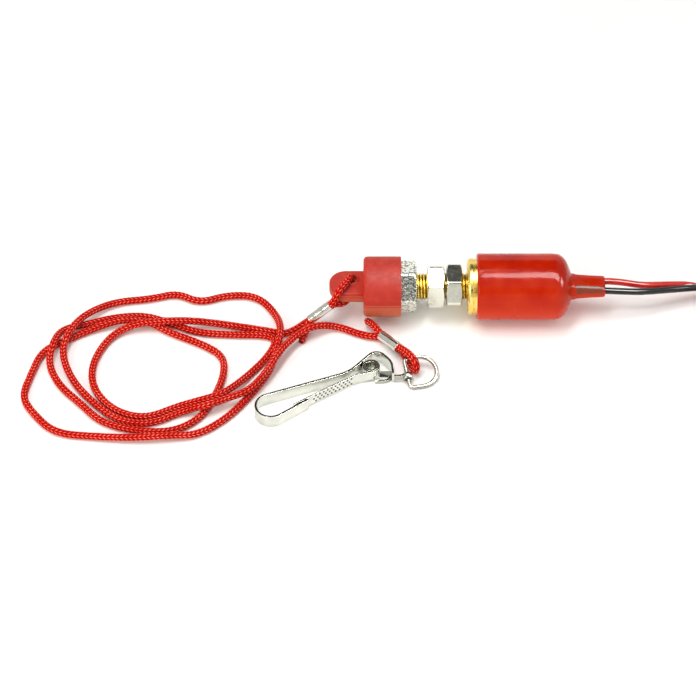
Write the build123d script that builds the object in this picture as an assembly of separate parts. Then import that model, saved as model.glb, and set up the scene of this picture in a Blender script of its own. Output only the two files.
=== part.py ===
"""Engine kill switch with its lanyard, lying on a table. Units are mm, +Z is up.

The origin is on the bushing's axis at the front face of the can, where a panel would sit.
+X runs back along the switch to its leads, so the pull cap and the lanyard are at -X.
"""
from build123d import *
import math
import os

os.makedirs("parts", exist_ok=True)

# Driving dimensions
THREAD_D = 9.525
CAN_D = 19.8
CAN_END = 19.6
CAN_WALL = 0.7
BOOT_WALL = 1.65
BOOT_D = CAN_D + 2 * BOOT_WALL
COLLAR_AF = 15.875
NUT_AF = 14.29
CAP_D = 21.0
CORD_D = 2.6
LEAD_D = 2.4
RING_WIRE = 1.45
STRIP = 0.8
STRIP_HEIGHT = 4.8
TRAVEL = 3.5
CLEAR = 0.05
TABLE = -BOOT_D / 2
LEAD_LOW = TABLE + LEAD_D / 2
LEAD_HIGH = LEAD_LOW + LEAD_D + 0.1


def save(shape, name):
    shape.label = name
    export_step(shape, f"parts/{name}.step")
    print(name, round(shape.volume, 2))


def along_x(radius, start, end):
    """Cylinder on the switch's axis between two places."""
    plane = Plane(origin=(start, 0, 0), z_dir=(1, 0, 0))
    return extrude(plane * Circle(radius), end - start)


def turned(points):
    """Solid turned about the switch's axis from (x, radius) points."""
    return revolve(make_face(Polyline(*points, close=True)), Axis.X)


def filleted_path(points, radii=None):
    """Straight runs joined by arcs, each as wide as the shorter run beside it allows."""
    if radii is None:
        radii = []
        for before, at, after in zip(points, points[1:], points[2:]):
            into = Vector(*at) - Vector(*before)
            out = Vector(*after) - Vector(*at)
            half = math.radians(into.get_angle(out)) / 2
            radii.append(0.45 * min(into.length, out.length) / math.tan(half))
    print("  smallest radius", round(min(radii), 2), "of", len(radii), "corners")
    return FilletPolyline(*points, radius=radii)


def cord(points, diameter, radii=None):
    """Plain round tube along a path."""
    path = filleted_path(points, radii)
    tube = sweep(Plane(origin=path @ 0, z_dir=path % 0) * Circle(diameter / 2), path)
    expected = math.pi * diameter ** 2 / 4 * path.length
    print("  length", round(path.length, 1), "volume / expected", round(tube.volume / expected, 4))
    return tube


def strip(points, radii, thick, low, high):
    """Spring strip on edge: a plan path with rounded corners, pulled up between two heights."""
    path = filleted_path([(x, y, low) for x, y in points], radii)
    start = path @ 0
    across = Plane(origin=(start.X, start.Y, (low + high) / 2), z_dir=path % 0, x_dir=(0, 0, 1))
    middle = path.moved(Location((0, 0, (high - low) / 2)))
    return sweep(across * Rectangle(high - low, thick), middle)


def hexagon(across_flats, start, end, vertex_deg):
    """Hexagon bar on the switch's axis with chamfered corners at both ends."""
    corner = across_flats / math.sqrt(3)
    turn = math.radians(vertex_deg)
    first = (0, -math.cos(turn), math.sin(turn))
    plane = Plane(origin=(start, 0, 0), x_dir=first, z_dir=(1, 0, 0))
    bar = extrude(plane * RegularPolygon(corner, 6), end - start)
    flat = across_flats / 2 - 0.1
    drop = (corner - flat) * math.tan(math.radians(30))
    limit = turned([(start, 0), (start, flat), (start + drop, corner), (end - drop, corner), (end, flat), (end, 0)])
    return bar & limit


# Bushing: brass tube with a flange inside the can and a wider bore for the plunger's shoulder
BUSHING_FRONT = -24.5
FLANGE_START = 1.0
FLANGE_END = 2.4
FLANGE_D = 13.0
SHOULDER_D = 7.4
SHOULDER_LONG = 1.5
PLUNGER_D = 5.0
bore_step = FLANGE_END - SHOULDER_LONG - TRAVEL - 0.4
bushing = turned([
    (BUSHING_FRONT, PLUNGER_D / 2 + CLEAR),
    (BUSHING_FRONT, THREAD_D / 2 - 0.5),
    (BUSHING_FRONT + 0.5, THREAD_D / 2),
    (FLANGE_START, THREAD_D / 2),
    (FLANGE_START, FLANGE_D / 2),
    (FLANGE_END, FLANGE_D / 2),
    (FLANGE_END, SHOULDER_D / 2 + 0.1),
    (bore_step, SHOULDER_D / 2 + 0.1),
    (bore_step, PLUNGER_D / 2 + CLEAR),
])
save(bushing, "threaded_bushing")

# Can: drawn cup with a rolled front edge, a shallow step and a rear rim crimped over the base
BASE_THICK = 3.0
base_back = CAN_END - 1.1
base_front = base_back - BASE_THICK
inner = CAN_D / 2 - CAN_WALL
can_profile = make_face(
    Polyline((1.2, CAN_D / 2), (1.9, CAN_D / 2), (2.1, CAN_D / 2 - 0.25), (2.4, CAN_D / 2 - 0.25),
             (2.6, CAN_D / 2), (CAN_END, CAN_D / 2), (CAN_END, inner - 0.6), (base_back, inner - 0.6),
             (base_back, inner), (FLANGE_START, inner), (FLANGE_START, THREAD_D / 2),
             (0, THREAD_D / 2), (0, CAN_D / 2 - 1.2))
    + RadiusArc((0, CAN_D / 2 - 1.2), (1.2, CAN_D / 2), 1.2)
)
save(revolve(can_profile, Axis.X), "switch_can")

# Boot: dipped vinyl skin, a full diameter over the can, a round shoulder and a flattened neck
LIP = 3.3
SHOULDER = 30.3
NECK_ROOT = 36.6
NECK_END = 48.0
NECK_ROOT_R = 4.4
LEAD_SPACING = 1.35
bore = CAN_D / 2 + CLEAR
cavity = CAN_D / 2 - 1.4
cavity_end = NECK_ROOT - 7.6
boot_profile = make_face(
    RadiusArc((LIP, BOOT_D / 2 - 0.8), (LIP + 0.8, BOOT_D / 2), 0.8)
    + Line((LIP + 0.8, BOOT_D / 2), (SHOULDER, BOOT_D / 2))
    + Spline((SHOULDER, BOOT_D / 2), (NECK_ROOT - 2.0, BOOT_D / 2 - 2.95), (NECK_ROOT, NECK_ROOT_R),
             tangents=((1, 0), (0.45, -1)))
    + Polyline((NECK_ROOT, NECK_ROOT_R), (NECK_ROOT, 0), (cavity_end, 0), (cavity_end, cavity - 2.0),
               (cavity_end - 2.0, cavity), (CAN_END + CLEAR, cavity), (CAN_END + CLEAR, bore), (LIP, bore),
               (LIP, BOOT_D / 2 - 0.8))
)
boot = revolve(boot_profile, Axis.X)
neck = loft([
    Plane(origin=(NECK_ROOT - 1.2, 0, 0), x_dir=(0, 1, 0), z_dir=(1, 0, 0)) * SlotOverall(9.6, 7.4),
    Plane(origin=(NECK_ROOT + 1.0, 0, 0), x_dir=(0, 1, 0), z_dir=(1, 0, 0)) * SlotOverall(9.2, 6.8),
    Plane(origin=(NECK_END, 0, 0), x_dir=(0, 1, 0), z_dir=(1, 0, 0)) * SlotOverall(7.4, 5.0),
], ruled=True)
bead = Plane(origin=(NECK_ROOT + 0.4, 0, 0), z_dir=(1, 0, 0)) * extrude(
    SlotOverall(9.8, 7.8).rotate(Axis.Z, 90), 1.0)
boot_body = boot + neck + bead

# Leads: side by side out of the neck, down to the table in a slow bend
LUG_END = 24.5
LUG_Y = 5.2
LEAD_INSIDE = [(LUG_END, LUG_Y, 0), (28.5, 4.9, 0), (34.5, 2.0, 0), (40, LEAD_SPACING, 0), (48, LEAD_SPACING, 0)]
red_points = LEAD_INSIDE + [
    (60, 1.4, -1.5), (71, 4.7, -3.7), (79, 6.6, -5.6), (87, 8.2, LEAD_LOW), (94, 9.2, LEAD_LOW), (101, 9.2, LEAD_LOW)]
black_points = [(x, -y, z) for x, y, z in LEAD_INSIDE] + [
    (60, -1.3, -1.5), (71, 2.1, -3.7), (79, 4.1, -4.8), (87, 6.4, -6.4), (94, 9.2, LEAD_HIGH), (101, 9.2, LEAD_HIGH)]
red_lead = cord(red_points, LEAD_D)
black_lead = cord(black_points, LEAD_D)
for inside in (1, -1):
    passage = [(LUG_END - 1.5, LUG_Y, 0)] + LEAD_INSIDE[1:4] + [(NECK_END + 2, LEAD_SPACING, 0)]
    passage = [(x, inside * y, z) for x, y, z in passage]
    boot_body -= cord(passage, LEAD_D + 2 * CLEAR)
save(boot_body, "vinyl_boot")
save(red_lead, "red_lead")
save(black_lead, "black_lead")

# The rest of each lead is put away as a flat coil of three turns, one coil on the other
COIL_X = 99.0
COIL_Y = -6.8
COIL_IN = 10.0
COIL_OUT = COIL_IN + 3 * LEAD_D
BULLET_D = 4.0
BULLET_LOW = TABLE + BULLET_D / 2


def coil(low, tail):
    """Closed ring of three turns, with the short tail that ends in its bullet connector."""
    base = Plane(origin=(COIL_X, COIL_Y, low))
    ring_body = extrude(base * (Circle(COIL_OUT) - Circle(COIL_IN)), LEAD_D)
    ring_body = fillet(ring_body.edges().filter_by(GeomType.CIRCLE), 0.9)
    return ring_body + cord(tail, LEAD_D)


def bullet(x, y, way):
    """Male bullet connector: insulating sleeve, pin with a catch groove and a round nose, along X."""
    sleeve = BULLET_D / 2
    pin = sleeve - 0.5
    solid = turned([(0, 0), (0, sleeve - 0.4), (0.4, sleeve), (6.6, sleeve), (7.0, pin), (10.0, pin), (10.3, pin - 0.3),
                    (10.6, pin - 0.3), (10.9, pin), (12.0, pin), (13.0, pin - 0.8), (13.0, 0)])
    if way < 0:
        solid = solid.rotate(Axis.Z, 180)
    return solid.moved(Location((x, y, BULLET_LOW)))


red_y = COIL_Y + 2.8
red_x = COIL_X - 6.0
black_y = COIL_Y - 2.8
black_x = COIL_X + 4.0
red_tail = [(87.8, COIL_Y - 2.5, LEAD_LOW), (87.9, COIL_Y + 0.6, LEAD_LOW), (90.0, red_y, BULLET_LOW),
            (red_x, red_y, BULLET_LOW)]
black_tail = [(110.2, COIL_Y + 2.5, LEAD_HIGH), (110.0, COIL_Y + 0.2, LEAD_HIGH), (107.4, black_y + 0.4, -8.5),
              (105.3, black_y, BULLET_LOW), (black_x, black_y, BULLET_LOW)]
save(coil(TABLE, red_tail), "red_lead_coil")
save(coil(LEAD_HIGH - LEAD_D / 2, black_tail), "black_lead_coil")
save(bullet(red_x, red_y, 1), "red_bullet")
save(bullet(black_x, black_y, -1), "black_bullet")

# Hexagon collar that the cap grips, closed in front except for the plunger
COLLAR_LONG = 8.9
collar_front = BUSHING_FRONT - 2.0
collar_back = collar_front + COLLAR_LONG
collar = hexagon(COLLAR_AF, collar_front, collar_back, 10)
collar -= along_x(THREAD_D / 2 + CLEAR, BUSHING_FRONT - 0.1, collar_back)
collar -= along_x(PLUNGER_D / 2 + 0.2, collar_front, BUSHING_FRONT)
save(collar, "hex_collar")


def nut(start, end, vertex_deg):
    """Thin hexagon nut, countersunk on both sides."""
    radius = THREAD_D / 2 + CLEAR
    body = hexagon(NUT_AF, start, end, vertex_deg)
    hole = turned([(start, 0), (start, radius + 0.5), (start + 0.5, radius), (end - 0.5, radius), (end, radius + 0.5),
                   (end, 0)])
    return body - hole


NUT_THICK = 5.9
FRONT_NUT_AT = -13.9
REAR_NUT_AT = -7.3
save(nut(FRONT_NUT_AT, FRONT_NUT_AT + NUT_THICK, 42), "front_nut")
save(nut(REAR_NUT_AT, REAR_NUT_AT + NUT_THICK - 0.4, 54), "rear_nut")

# The plunger's tip stands out of the collar, and the cap's boss holds it in
PLUNGER_TIP = collar_front - 1.0

# Pull cap: moulded rubber, a socket for the collar, a boss that holds the plunger in, a flat tab
CAP_BACK = collar_front + 3.5
SOCKET_DEPTH = 6.5
CAP_LONG = 13.1
SOCKET_D = COLLAR_AF / math.cos(math.radians(30)) + 0.25
socket_end = CAP_BACK - SOCKET_DEPTH
cap_front = CAP_BACK - CAP_LONG
TAB_THICK = 4.3
TAB_WIDE = 11.6
TAB_END = -48.0
HOLE = (-40.4, 1.5)
HOLE_D = 4.0
disc = along_x(CAP_D / 2, cap_front, CAP_BACK)
disc = fillet(disc.edges().group_by(Axis.X)[0], 1.4)
disc = fillet(disc.edges().group_by(Axis.X)[-1], 0.4)
disc -= along_x(SOCKET_D / 2, socket_end, CAP_BACK)
disc += along_x(3.0, socket_end - 0.1, PLUNGER_TIP - CLEAR)
tab_round = TAB_END + TAB_WIDE / 2
tab_plan = Rectangle(cap_front + 1 - tab_round, TAB_WIDE, align=(Align.MIN, Align.CENTER))
tab_sketch = Plane(origin=(tab_round, 0, -TAB_THICK / 2)) * (tab_plan + Circle(TAB_WIDE / 2))
tab = extrude(tab_sketch, TAB_THICK)
tab = fillet(tab.edges().group_by(Axis.Z)[0] + tab.edges().group_by(Axis.Z)[-1], 0.5)
rim = Plane(origin=(*HOLE, TAB_THICK / 2)) * extrude(Circle(2.9), 0.2)
cap = disc + tab + rim
cap -= Pos(*HOLE, 0) * Cylinder(HOLE_D / 2, 10)
cap -= Pos(*HOLE, TAB_THICK / 2) * Cone(HOLE_D / 2, HOLE_D / 2 + 0.5, 0.5)
cap -= Pos(*HOLE, -TAB_THICK / 2) * Cone(HOLE_D / 2 + 0.5, HOLE_D / 2, 0.5)
save(cap, "pull_cap")

# Plunger and contacts. At rest the cap holds the plunger in and the contact disc off the terminals
DISC_AT = FLANGE_END + TRAVEL + 1.5
DISC_D = 13.0
DISC_THICK = 0.6
WASHER_D = 8.4
WASHER_THICK = 0.8
STUD_D = 3.0
washer_end = DISC_AT + DISC_THICK + WASHER_THICK
shoulder_front = FLANGE_END - SHOULDER_LONG
plunger = turned([
    (PLUNGER_TIP, 0), (PLUNGER_TIP, PLUNGER_D / 2 - 0.8), (PLUNGER_TIP + 0.8, PLUNGER_D / 2),
    (shoulder_front, PLUNGER_D / 2), (shoulder_front, SHOULDER_D / 2), (FLANGE_END, SHOULDER_D / 2),
    (FLANGE_END, PLUNGER_D / 2 - 0.3), (DISC_AT, PLUNGER_D / 2 - 0.3), (DISC_AT, STUD_D / 2),
    (washer_end + 0.6, STUD_D / 2), (washer_end + 0.6, 0)])
save(plunger, "plunger")
disc_hole = along_x(STUD_D / 2 + CLEAR, DISC_AT, washer_end)
save(along_x(DISC_D / 2, DISC_AT, DISC_AT + DISC_THICK) - disc_hole, "contact_disc")
save(along_x(WASHER_D / 2, DISC_AT + DISC_THICK, washer_end) - disc_hole, "plunger_washer")

# Return spring between the washer and the base
SPRING_WIRE = 0.6
spring_turns = 5
spring_height = base_front - washer_end - SPRING_WIRE
spring_helix = Helix(spring_height / spring_turns, spring_height, 2.7)
spring = sweep(Plane(origin=spring_helix @ 0, z_dir=spring_helix % 0) * Circle(SPRING_WIRE / 2), spring_helix, is_frenet=True)
spring = Plane(origin=(washer_end + SPRING_WIRE / 2, 0, 0), z_dir=(1, 0, 0)) * spring
save(spring, "return_spring")

# Insulating ring, base and the two bent contact strips that pass through it
INSULATOR_THICK = 0.8
BLADE = 0.6
BLADE_WIDE = 4.0
insulator_back = FLANGE_END + INSULATOR_THICK
insulator = along_x(inner - 0.1, FLANGE_END, insulator_back)
insulator -= along_x(SHOULDER_D / 2 + 0.3, FLANGE_END, insulator_back)
save(insulator, "front_insulator")
leg_out = inner - 1.0


def terminal(side):
    """Contact arm on the insulator, leg back through the base, solder lug bent in to the lead."""
    points = [(insulator_back + BLADE / 2, 4.4), (insulator_back + BLADE / 2, leg_out - BLADE / 2),
              (base_back + 0.9, leg_out - BLADE / 2), (base_back + 2.1, LUG_Y), (LUG_END, LUG_Y)]
    plan = FilletPolyline(*[(x, side * y, -BLADE_WIDE / 2) for x, y in points], radius=0.5)
    start = plan @ 0
    across = Plane(origin=start, z_dir=plan % 0, x_dir=(0, 0, 1))
    swept = sweep(across * Rectangle(BLADE_WIDE, BLADE), plan)
    return swept.moved(Location((0, 0, BLADE_WIDE / 2)))


base = along_x(inner - 0.05, base_front, base_back) + along_x(2.2, base_front - 1.2, base_front)
for side in (1, -1):
    slot_y = side * (leg_out - BLADE / 2)
    base -= Pos((base_front + base_back) / 2, slot_y, 0) * Box(6, BLADE, BLADE_WIDE)
save(base, "terminal_base")
save(terminal(1), "red_terminal")
save(terminal(-1), "black_terminal")

# Lanyard: one braided cord from cut end to cut end. The first and last lists carry the exact places
# at the cap and at the ring, the middle one is how the loops lie, as (x, y, height over the table)
AT_CAP = [
    (-57.8, -17.0, -10.25), (-56.2, -12.8, -9.8), (-55.5, -10.6, -6.5), (-47.4, -7.6, -1.1), (-45.8, -5.8, 3.9),
    (-43.2, -2.2, 4.0), (-40.4, 1.5, 4.0), (-40.4, 1.5, -3.75), (-41.3, -2.3, -3.85), (-43.6, -4.9, -3.75),
    (-46.9, -5.6, -2.7), (-54.4, -7.7, -8.5)]
LOOPS = [
    (-62.5, -13.5, -10.25), (-68, -12, -10.25), (-84, -8.5, -10.25), (-96, -9, -7.75), (-107, -10, -7),
    (-116.5, -10, -8.5), (-124.5, -14.5, -10.25), (-130, -27.5, -10.25), (-129, -39.5, -10.25), (-121.5, -49.5, -10.25),
    (-110.5, -53.5, -10.25), (-99.5, -47.5, -10.25), (-90.5, -46.5, -7.75), (-84, -45, -6.75), (-76.5, -34, -10.25),
    (-69, -24, -10.25), (-66, -16, -10.25), (-70, -13.5, -10.25), (-82, -13.5, -10.25), (-94, -12.5, -10.25),
    (-103, -8, -10.25), (-112.5, -4, -10.25), (-123, -5, -10.25), (-133, -8.5, -10.25), (-141, -11.5, -9.5),
    (-143.5, -21.5, -6), (-145, -27.5, -10.25), (-140.5, -38, -10.25), (-132.5, -46.5, -10.25), (-125.5, -55, -10.25),
    (-113, -59, -10.25), (-101, -59.5, -10.25), (-92, -53.5, -10.25), (-87.5, -44.5, -10.25), (-84, -33, -10.25),
    (-84.5, -23.5, -10.25), (-93, -17.5, -10.25), (-103.5, -12.5, -10.25), (-111.5, -7, -9.75), (-121.5, -8, -8.25),
    (-132, -11.5, -10.25), (-140, -16.5, -10.25), (-147.5, -21.5, -10.25), (-150.5, -32.5, -10.25), (-153, -43, -10.25),
    (-149, -50.5, -10.25), (-141, -60, -10.25), (-127.5, -61.5, -10.25), (-113.5, -63, -9.25), (-102, -62, -9),
    (-92.5, -61, -10.25), (-82.5, -53, -10.25), (-75, -42.5, -10.25), (-68.5, -31.5, -10.25), (-66.5, -24, -8.5),
    (-64.5, -16, -6), (-66, -4.5, -10.25), (-73, 5.5, -10.25), (-84, 6, -10.25), (-93.5, 2, -10.25), (-101.5, 7, -10.25),
    (-110.5, 4, -10.25), (-124, 2.5, -10.25), (-134, -7, -7.25), (-139, -17, -6.5), (-140.5, -23, -10.25),
    (-136.5, -35, -10.25), (-129, -45.5, -10.25), (-119.5, -54.5, -10.25), (-108.5, -56, -10.25), (-97.5, -49.5, -10.25),
    (-89.5, -50.5, -6.5), (-83, -46.5, -7.5), (-75, -43, -7.25), (-69, -33.5, -7.25), (-65.5, -26, -6), (-60, -16.5, -7.75),
    (-53.5, -13, -6), (-45.5, -9, -10.25), (-36, -14, -10.25)]
AT_RING = [
    (-29.3, -15.0, -9.75), (-22.8, -21.5, -9.65), (-20.9, -26.4, -10.2), (-18.0, -31.9, -10.2), (-18.0, -31.9, -5.0),
    (-20.7, -27.2, -5.0), (-23.9, -22.5, -7.3), (-30.3, -16.0, -7.3), (-32.4, -12.0, -6.9), (-35.0, -7.6, -9.2)]
lanyard = cord(AT_CAP + LOOPS + AT_RING, CORD_D)
save(lanyard, "lanyard_cord")


def ferrule(lower, upper, wide):
    """Crimped oval sleeve round two passes of the cord. wide is the oval's long direction."""
    axis = (Vector(*upper) - Vector(*lower)).normalized()
    plane = Plane(origin=lower, x_dir=wide, z_dir=axis)
    length = (Vector(*upper) - Vector(*lower)).length
    outer = extrude(plane * SlotOverall(6.1, 3.45), length)
    return outer - extrude(plane * SlotOverall(5.3, 2.65), length)


save(ferrule((-54.4, -8.95, -7.15), (-47.5, -6.75, -2.15), (0.194, 0.776, -0.6)), "cap_ferrule")
save(ferrule((-23.6, -21.75, -8.5), (-29.5, -15.85, -8.5), (0.347, 0.348, -0.719)), "hook_ferrule")

# Ring: bent wire with one straight side, in the cord's fold at its back and resting on its front
RING_BACK_CORNER = (-22.3, -27.8, -7.6)
RING_YAW = 12.0
RING_TILT = 16.4
RING_LONG = 11.35
RING_STRAIGHT = 4.65
ring_across = Vector(math.cos(math.radians(RING_YAW)), math.sin(math.radians(RING_YAW)), 0)
ring_forward = Vector(math.sin(math.radians(RING_YAW)) * math.cos(math.radians(RING_TILT)),
                      -math.cos(math.radians(RING_YAW)) * math.cos(math.radians(RING_TILT)),
                      -math.sin(math.radians(RING_TILT)))
ring_plane = Plane(origin=RING_BACK_CORNER, x_dir=ring_across, z_dir=ring_across.cross(ring_forward))
corner = 1.5
ring_line = (
    Line((RING_STRAIGHT, 0), (corner, 0))
    + RadiusArc((corner, 0), (0, corner), corner)
    + Line((0, corner), (0, RING_LONG - corner))
    + RadiusArc((0, RING_LONG - corner), (corner, RING_LONG), corner)
    + Line((corner, RING_LONG), (RING_STRAIGHT, RING_LONG))
)
bow = ThreePointArc((RING_STRAIGHT, RING_LONG), (RING_STRAIGHT + RING_LONG / 2, RING_LONG / 2), (RING_STRAIGHT, 0))
ring_path = Wire((ring_line + bow).edges())
ring_start = Plane(origin=ring_path @ 0, z_dir=ring_path % 0)
ring = ring_plane * sweep(ring_start * Circle(RING_WIRE / 2), ring_path)
save(ring, "ring")

# Snap hook: one spring strip on edge from the nose round the end, back along the spine and over the
# scroll, where a narrow tongue is rolled into the eye. A leaf under the scroll carries the gate's core
GATE_AT = (-33.5, -31.6)
strip_low = TABLE
strip_high = TABLE + STRIP_HEIGHT
END_ROUND = 5.25
hook_points = [
    (-55.1, -47.45), (-67.2, -56.5), (-73.1, -53.2), (-72.6, -46.4), (-41.1, -34.5), (-31.7, -23.5), (-26.5, -29.4),
    (-26.0, -35.2)]
hook_radii = [END_ROUND, END_ROUND, END_ROUND, 14.0, 3.1, 7.6]
hook = strip(hook_points, hook_radii, STRIP, strip_low, strip_high)
bar_way = ring_forward
EYE = Vector(*RING_BACK_CORNER) + bar_way * 6.8
eye_plane = Plane(origin=EYE - bar_way * 1.1, x_dir=(1, 0, 0), z_dir=bar_way)
eye_roll = extrude(eye_plane * Circle(1.75), 2.2)
tongue = Pos(-23.9, -34.6, -9.5) * Rot(0, 0, 5) * Box(4.8, 0.8, 2.0)
leaf = Pos(GATE_AT[0] + 3.7, GATE_AT[1], strip_low + 0.2) * Box(7.6, 3.0, 0.4)
foot = strip([(-26.2, -32.0), (-27.2, -35.1), (-32.2, -35.5)], [3.0], STRIP, strip_low, strip_low + 1.3)
core = Pos(*GATE_AT, (strip_low + strip_high) / 2) * Cylinder(2.5, STRIP_HEIGHT)
core -= Pos(*GATE_AT, strip_high) * Cylinder(1.9, 7.0)
hook = hook + tongue + eye_roll + leaf + foot + core
hook -= extrude(eye_plane.offset(-2) * Circle(1.1), 7)
save(hook, "hook_body")

# Gate: barrel rolled round the core, and a tongue that springs against the inside of the nose
gate_low = TABLE + 0.5
gate_high = TABLE + 4.6
gate_leaf = 0.5
barrel_r = 2.5 + CLEAR
barrel = Pos(*GATE_AT, (gate_low + gate_high) / 2) * (
    Cylinder(barrel_r + gate_leaf, gate_high - gate_low) - Cylinder(barrel_r, gate_high - gate_low))
gate_points = [(GATE_AT[0], GATE_AT[1] - 2.8), (-38.5, -35.6), (-48.0, -41.6), (-60.0, -49.6)]
gate_tongue = strip(gate_points, [3.5, 20.0], gate_leaf, gate_low, gate_high)
save(barrel + gate_tongue, "hook_gate")
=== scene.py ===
"""Finished look of an engine kill switch on a table, with its pull cap, lanyard and snap hook.

The meshes are in metres in the CAD frame: the origin is on the bushing's axis at the front face of
the can, +X runs back along the switch to its leads and +Z is up. Sizes and places are in mm.
"""
import math

import bmesh
import bpy
from mathutils import Matrix, Vector


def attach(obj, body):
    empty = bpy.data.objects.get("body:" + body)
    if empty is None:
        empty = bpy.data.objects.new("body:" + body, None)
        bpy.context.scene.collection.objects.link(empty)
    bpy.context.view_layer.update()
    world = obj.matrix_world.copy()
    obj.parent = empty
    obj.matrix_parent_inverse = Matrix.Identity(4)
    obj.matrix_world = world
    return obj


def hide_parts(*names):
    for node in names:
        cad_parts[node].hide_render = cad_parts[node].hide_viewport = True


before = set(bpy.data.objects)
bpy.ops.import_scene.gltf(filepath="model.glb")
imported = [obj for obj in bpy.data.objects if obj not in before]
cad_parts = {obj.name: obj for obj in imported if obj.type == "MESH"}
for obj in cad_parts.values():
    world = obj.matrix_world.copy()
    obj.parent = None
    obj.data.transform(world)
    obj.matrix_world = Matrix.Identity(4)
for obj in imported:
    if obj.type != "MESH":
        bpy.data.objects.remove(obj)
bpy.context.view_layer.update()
MM = 0.001

# Camera: a long lens from in front and above, 46 degrees down onto the table, looking along +Y.
# The switch lies along the top of the picture, and its leads run out at the right-hand edge.
LOOK_DOWN = math.radians(46)
AIM = Vector((-41.47, -15.42, -14.89)) * MM
AWAY = 1200 * MM


def put_in_scene(name, data):
    thing = bpy.data.objects.new(name, data)
    bpy.context.scene.collection.objects.link(thing)
    return thing


camera_data = bpy.data.cameras.new("camera")
camera_data.lens = 178.1
camera_data.sensor_width = 36
camera_data.clip_start = 0.05
camera_data.clip_end = 20
camera = put_in_scene("camera", camera_data)
camera.location = AIM - Vector((0, math.cos(LOOK_DOWN), -math.sin(LOOK_DOWN))) * AWAY
camera.rotation_euler = (math.pi / 2 - LOOK_DOWN, 0, 0)
bpy.context.scene.camera = camera


# Leads: two single-core wires in glossy vinyl insulation, red behind and black in front. They leave
# the boot's neck side by side, and the length beyond the picture is put away as two flat coils.
LEAD_D = 2.4
LEAD_SPACING = 1.35
TABLE = -11.55
LEAD_LOW = TABLE + LEAD_D / 2
LEAD_HIGH = LEAD_LOW + LEAD_D + 0.1
LEAD_INSIDE = [(24.5, 5.2, 0), (28.5, 4.9, 0), (34.5, 2.0, 0), (40, 1.6, 0)]
COIL_X = 99.0
COIL_Y = -6.8
COIL_FIRST_R = 16.0
COIL_LAST_R = 11.4
COIL_STEPS = 16
RED_TURNS = 2.71
BLACK_TURNS = 2.21


def spline_curve(name, points):
    """Smooth open curve with the route's points, in mm, as its control points."""
    curve = bpy.data.curves.new(name, "CURVE")
    curve.dimensions = "3D"
    curve.resolution_u = 8
    spline = curve.splines.new("NURBS")
    spline.points.add(len(points) - 1)
    for point, place in zip(spline.points, points):
        point.co = (place[0] * MM, place[1] * MM, place[2] * MM, 1)
    spline.order_u = 3
    spline.use_endpoint_u = True
    return put_in_scene(name, curve)


def plain_mesh(thing):
    """Mesh of an object as its curve settings and modifiers shape it."""
    bpy.context.view_layer.update()
    shaped = thing.evaluated_get(bpy.context.evaluated_depsgraph_get())
    return bpy.data.meshes.new_from_object(shaped)


def line_points(thing):
    """Points along a curve that has no bevel, in metres."""
    mesh = plain_mesh(thing)
    points = [vertex.co.copy() for vertex in mesh.vertices]
    bpy.data.meshes.remove(mesh)
    return points


def line_length(points):
    return sum((b - a).length for a, b in zip(points, points[1:]))


def coil_turns(turns, height):
    """Flat spiral from the outer turn inwards, clockwise seen from above.

    The control points stand a little outside the spiral, because the curve cuts their corners.
    """
    count = int(turns * COIL_STEPS)
    route = []
    for step in range(1, count + 1):
        share = step / count
        angle = math.pi / 2 - share * turns * 2 * math.pi
        radius = COIL_FIRST_R + (COIL_LAST_R - COIL_FIRST_R) * share
        radius /= math.cos(math.pi / COIL_STEPS)
        x, y = COIL_X + radius * math.cos(angle), COIL_Y + radius * math.sin(angle)
        route.append((x, y, height))
    return route


def hex_colour(text):
    """Linear colour from an sRGB hex string."""
    parts = [int(text[i:i + 2], 16) / 255 for i in (0, 2, 4)]
    return (*[c / 12.92 if c <= 0.04045 else ((c + 0.055) / 1.055) ** 2.4 for c in parts], 1)


def add_node(tree, kind, inputs=None, stops=(), **settings):
    """Shader or geometry node with its settings. An input is a value, or a socket to link.

    stops are the places and sRGB hex colours along a colour ramp, in rising order.
    """
    made = tree.nodes.new(kind)
    for key, value in settings.items():
        setattr(made, key, value)
    for key, value in (inputs or {}).items():
        if isinstance(value, bpy.types.NodeSocket):
            tree.links.new(value, made.inputs[key])
        else:
            made.inputs[key].default_value = value
    for number, (position, colour) in enumerate(stops):
        band = made.color_ramp.elements
        stop = band[number] if number < 2 else band.new(position)
        stop.position = position
        stop.color = hex_colour(colour)
    return made


def new_material(name, roughness, metallic=0.0, coat=0.0):
    """Material with a Principled shader, and its Object coordinates."""
    material = bpy.data.materials.new(name)
    material.use_nodes = True
    tree = material.node_tree
    shader = tree.nodes["Principled BSDF"]
    shader.inputs["Roughness"].default_value = roughness
    shader.inputs["Metallic"].default_value = metallic
    if coat:
        shader.inputs["Coat Weight"].default_value = coat
        shader.inputs["Coat Roughness"].default_value = 0.08
    place = add_node(tree, "ShaderNodeTexCoord").outputs["Object"]
    return material, tree, shader, place


def patches(tree, place, patch_mm, stops, detail=3.0):
    """Colour that drifts between the stops over patches about patch_mm across."""
    noise = add_node(tree, "ShaderNodeTexNoise",
                     {"Vector": place, "Scale": 1000 / patch_mm, "Detail": detail})
    tint = add_node(tree, "ShaderNodeValToRGB", {"Fac": noise.outputs["Fac"]}, stops=stops)
    return tint.outputs["Color"]


def uneven_gloss(tree, shader, place, patch_mm, glossiest, dullest):
    """Roughness that drifts over patches, as making and handling leave it."""
    noise = add_node(tree, "ShaderNodeTexNoise",
                     {"Vector": place, "Scale": 1000 / patch_mm, "Detail": 3.0})
    spread = add_node(tree, "ShaderNodeMapRange",
                      {"Value": noise.outputs["Fac"], "From Min": 0.3, "From Max": 0.7,
                       "To Min": glossiest, "To Max": dullest})
    tree.links.new(spread.outputs["Result"], shader.inputs["Roughness"])


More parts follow.
